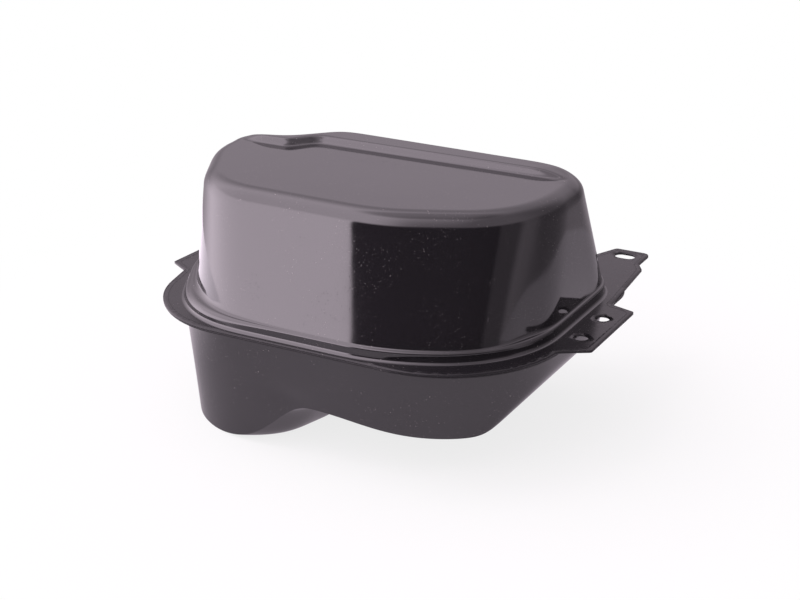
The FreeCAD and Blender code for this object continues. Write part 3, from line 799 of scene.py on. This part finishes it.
@dataclass(frozen=True)
class FloorWhite:
    """White floor that keeps the tank's shadow near it and melts into the backdrop further out. In the tank's
    reflections it glows a dim purple painted tint, with a painted pool of light at the left.
    """

    name: str = "floor_white"
    paint: tuple[float, float, float, float] = (0.85, 0.85, 0.85, 1.0)
    shadow_share: float = 0.2
    # Painted reflection: the dim purple colour that the floor shows only in the tank's reflections.
    painted_reflection_tint: tuple[float, float, float, float] = (0.50, 0.44, 0.50, 1.0)
    painted_light_pool: float = 3.2
    white: tuple[float, float, float, float] = (1.0, 1.0, 1.0, 1.0)
    shadow_reach: float = 0.20
    white_reach: float = 0.38

    def make(self) -> bpy.types.Material:
        """Make the material."""
        material = bpy.data.materials.new(self.name)
        material.use_nodes = True
        plan = Plan(material.node_tree)
        nodes = material.node_tree.nodes
        shader = nodes["Principled BSDF"]
        shader.inputs["Base Color"].default_value = self.paint
        shader.inputs["Roughness"].default_value = 0.9
        place = plan.add("ShaderNodeTexCoord", "Object")
        x, y, _ = plan.axes(place)
        far = (x * x + y * y).math("SQRT").rise(self.shadow_reach, self.white_reach)
        camera = plan.add("ShaderNodeLightPath", "Is Camera Ray")
        seen = (camera + plan.add("ShaderNodeLightPath", "Is Glossy Ray")).math("MINIMUM", 1.0)
        share = seen * (1 - self.shadow_share * (1 - far))
        # Painted light: for reflected rays the floor glows in the purple tint, several times brighter at the
        # left, a painted pool of light that the tank reflects.
        white = plan.add("ShaderNodeEmission", "Emission", {}, {
            "Color": plan.blend(camera, self.painted_reflection_tint, self.white),
            "Strength": 1 + (1 - camera) * (1 - x.rise(-0.34, -0.14)) * self.painted_light_pool})
        mix = plan.add("ShaderNodeMixShader", "Shader", {}, {
            0: share, 1: Socket(plan, shader.outputs[0]), 2: white})
        plan.feed(nodes["Material Output"].inputs["Surface"], mix)
        return material


@dataclass
class Studio:
    """Camera, floor, backdrop and soft light."""

    azimuth: float = 28.3
    elevation: float = 22.2
    distance: float = 1.1
    target: tuple[float, float, float] = (0.013, -0.0265, 0.0732)
    focal: float = 81.7
    floor_radius: float = 0.42
    left_light: float = 2.9
    left_edge: float = -21.5
    right_light: float = 0.12
    right_edge: float = 66.0
    overhead: float = 2.3
    rear_light: float = 0.82
    gloom: float = 0.07
    lamp_size: float = 0.7
    lamp_watts: float = 3.0
    lamp_place: tuple[float, float, float] = (-0.5, -0.3, 1.3)
    tint: tuple[float, float, float, float] = (1.0, 0.87, 0.98, 1.0)
    white: tuple[float, float, float, float] = (1.0, 1.0, 1.0, 1.0)

    def camera(self) -> None:
        """Stand the camera where the photograph was taken from."""
        data = bpy.data.cameras.new("camera")
        data.lens = self.focal
        data.sensor_width = 36.0
        view = bpy.data.objects.new("camera", data)
        turn, rise = math.radians(self.azimuth), math.radians(self.elevation)
        away = Vector((math.sin(turn) * math.cos(rise), -math.cos(turn) * math.cos(rise), math.sin(rise)))
        view.location = Vector(self.target) + away * self.distance
        view.rotation_euler = (-away).to_track_quat("-Z", "Y").to_euler()
        bpy.context.scene.collection.objects.link(view)
        bpy.context.scene.camera = view

    def lamp(self) -> None:
        """Hang one soft lamp high at the left, which draws the shadow on the floor."""
        data = bpy.data.lights.new("soft_lamp", "AREA")
        data.shape = "DISK"
        data.size = self.lamp_size
        data.energy = self.lamp_watts
        lamp = bpy.data.objects.new("soft_lamp", data)
        lamp.location = self.lamp_place
        lamp.rotation_euler = (-Vector(lamp.location)).to_track_quat("-Z", "Y").to_euler()
        lamp.visible_camera = False
        lamp.visible_glossy = False
        bpy.context.scene.collection.objects.link(lamp)

    def stand(self) -> None:
        """Lay the round floor."""
        count = 96
        turns = [2 * math.pi * k / count for k in range(count)]
        points = [(math.cos(a) * self.floor_radius, math.sin(a) * self.floor_radius, 0.0) for a in turns]
        mesh = bpy.data.meshes.new("floor")
        mesh.from_pydata(points, [], [tuple(range(count))])
        mesh.materials.append(FloorWhite().make())
        floor = bpy.data.objects.new("floor", mesh)
        bpy.context.scene.collection.objects.link(floor)

    def surround(self) -> None:
        """Set the world: soft boxes at the left, at the right, overhead and behind, with a gap in front."""
        world = bpy.data.worlds.new("studio")
        world.use_nodes = True
        plan = Plan(world.node_tree)
        background = world.node_tree.nodes["Background"]
        x, y, z = plan.axes(plan.add("ShaderNodeTexCoord", "Generated"))
        azimuth = plan.number("ARCTAN2", x, -y) * (180 / math.pi)
        left = 1 - azimuth.rise(self.left_edge - 1.2, self.left_edge + 1.2)
        right = azimuth.rise(self.right_edge - 3, self.right_edge + 3)
        stripe = azimuth.band(92, 112, 6) * 0.25
        left = left * (0.62 + 0.38 * azimuth.rise(-125, -75))
        side = self.gloom + left * self.left_light + right * (self.right_light + stripe)
        above = z.rise(0.2, 0.42)
        overhead = self.overhead * (1 - x.rise(-0.25, 0.5) * 0.75)
        light = side + above * (overhead - side)
        light = light * (1 - z.band(0.93, 1.1, 0.04) * 0.5)
        behind = self.rear_light * (1 - x.rise(0.1, 0.7) * 0.6) * (0.6 + z.rise(0.12, 0.34) * 0.4)
        light = light + y.rise(0.0, 0.7) * (behind - light)
        camera = plan.add("ShaderNodeLightPath", "Is Camera Ray")
        plan.feed(background.inputs["Color"], plan.blend(camera, self.tint, self.white))
        plan.feed(background.inputs["Strength"], light + camera * (1 - light))
        bpy.context.scene.world = world


def main() -> None:
    """Build the tank piece by piece, then the studio round it."""
    logging.basicConfig(level=logging.INFO, format="%(message)s")
    bpy.context.scene.view_settings.view_transform = "Standard"
    studio = Studio()
    studio.camera()
    enamel = Enamel().make()
    pieces = {
        "upper_shell": UpperHalf().build(),
        "lower_shell": LowerHalf().build(),
    }
    for node, piece in pieces.items():
        piece.data.materials.append(enamel)
        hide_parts(node)
        LOG.info("%s: %d faces", piece.name, len(piece.data.polygons))
    for node in ("filler_neck", "tap_boss"):
        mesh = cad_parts[node].data
        mesh.materials.clear()
        mesh.materials.append(enamel)
    studio.stand()
    studio.surround()
    studio.lamp()


if __name__ == "__main__":
    main()
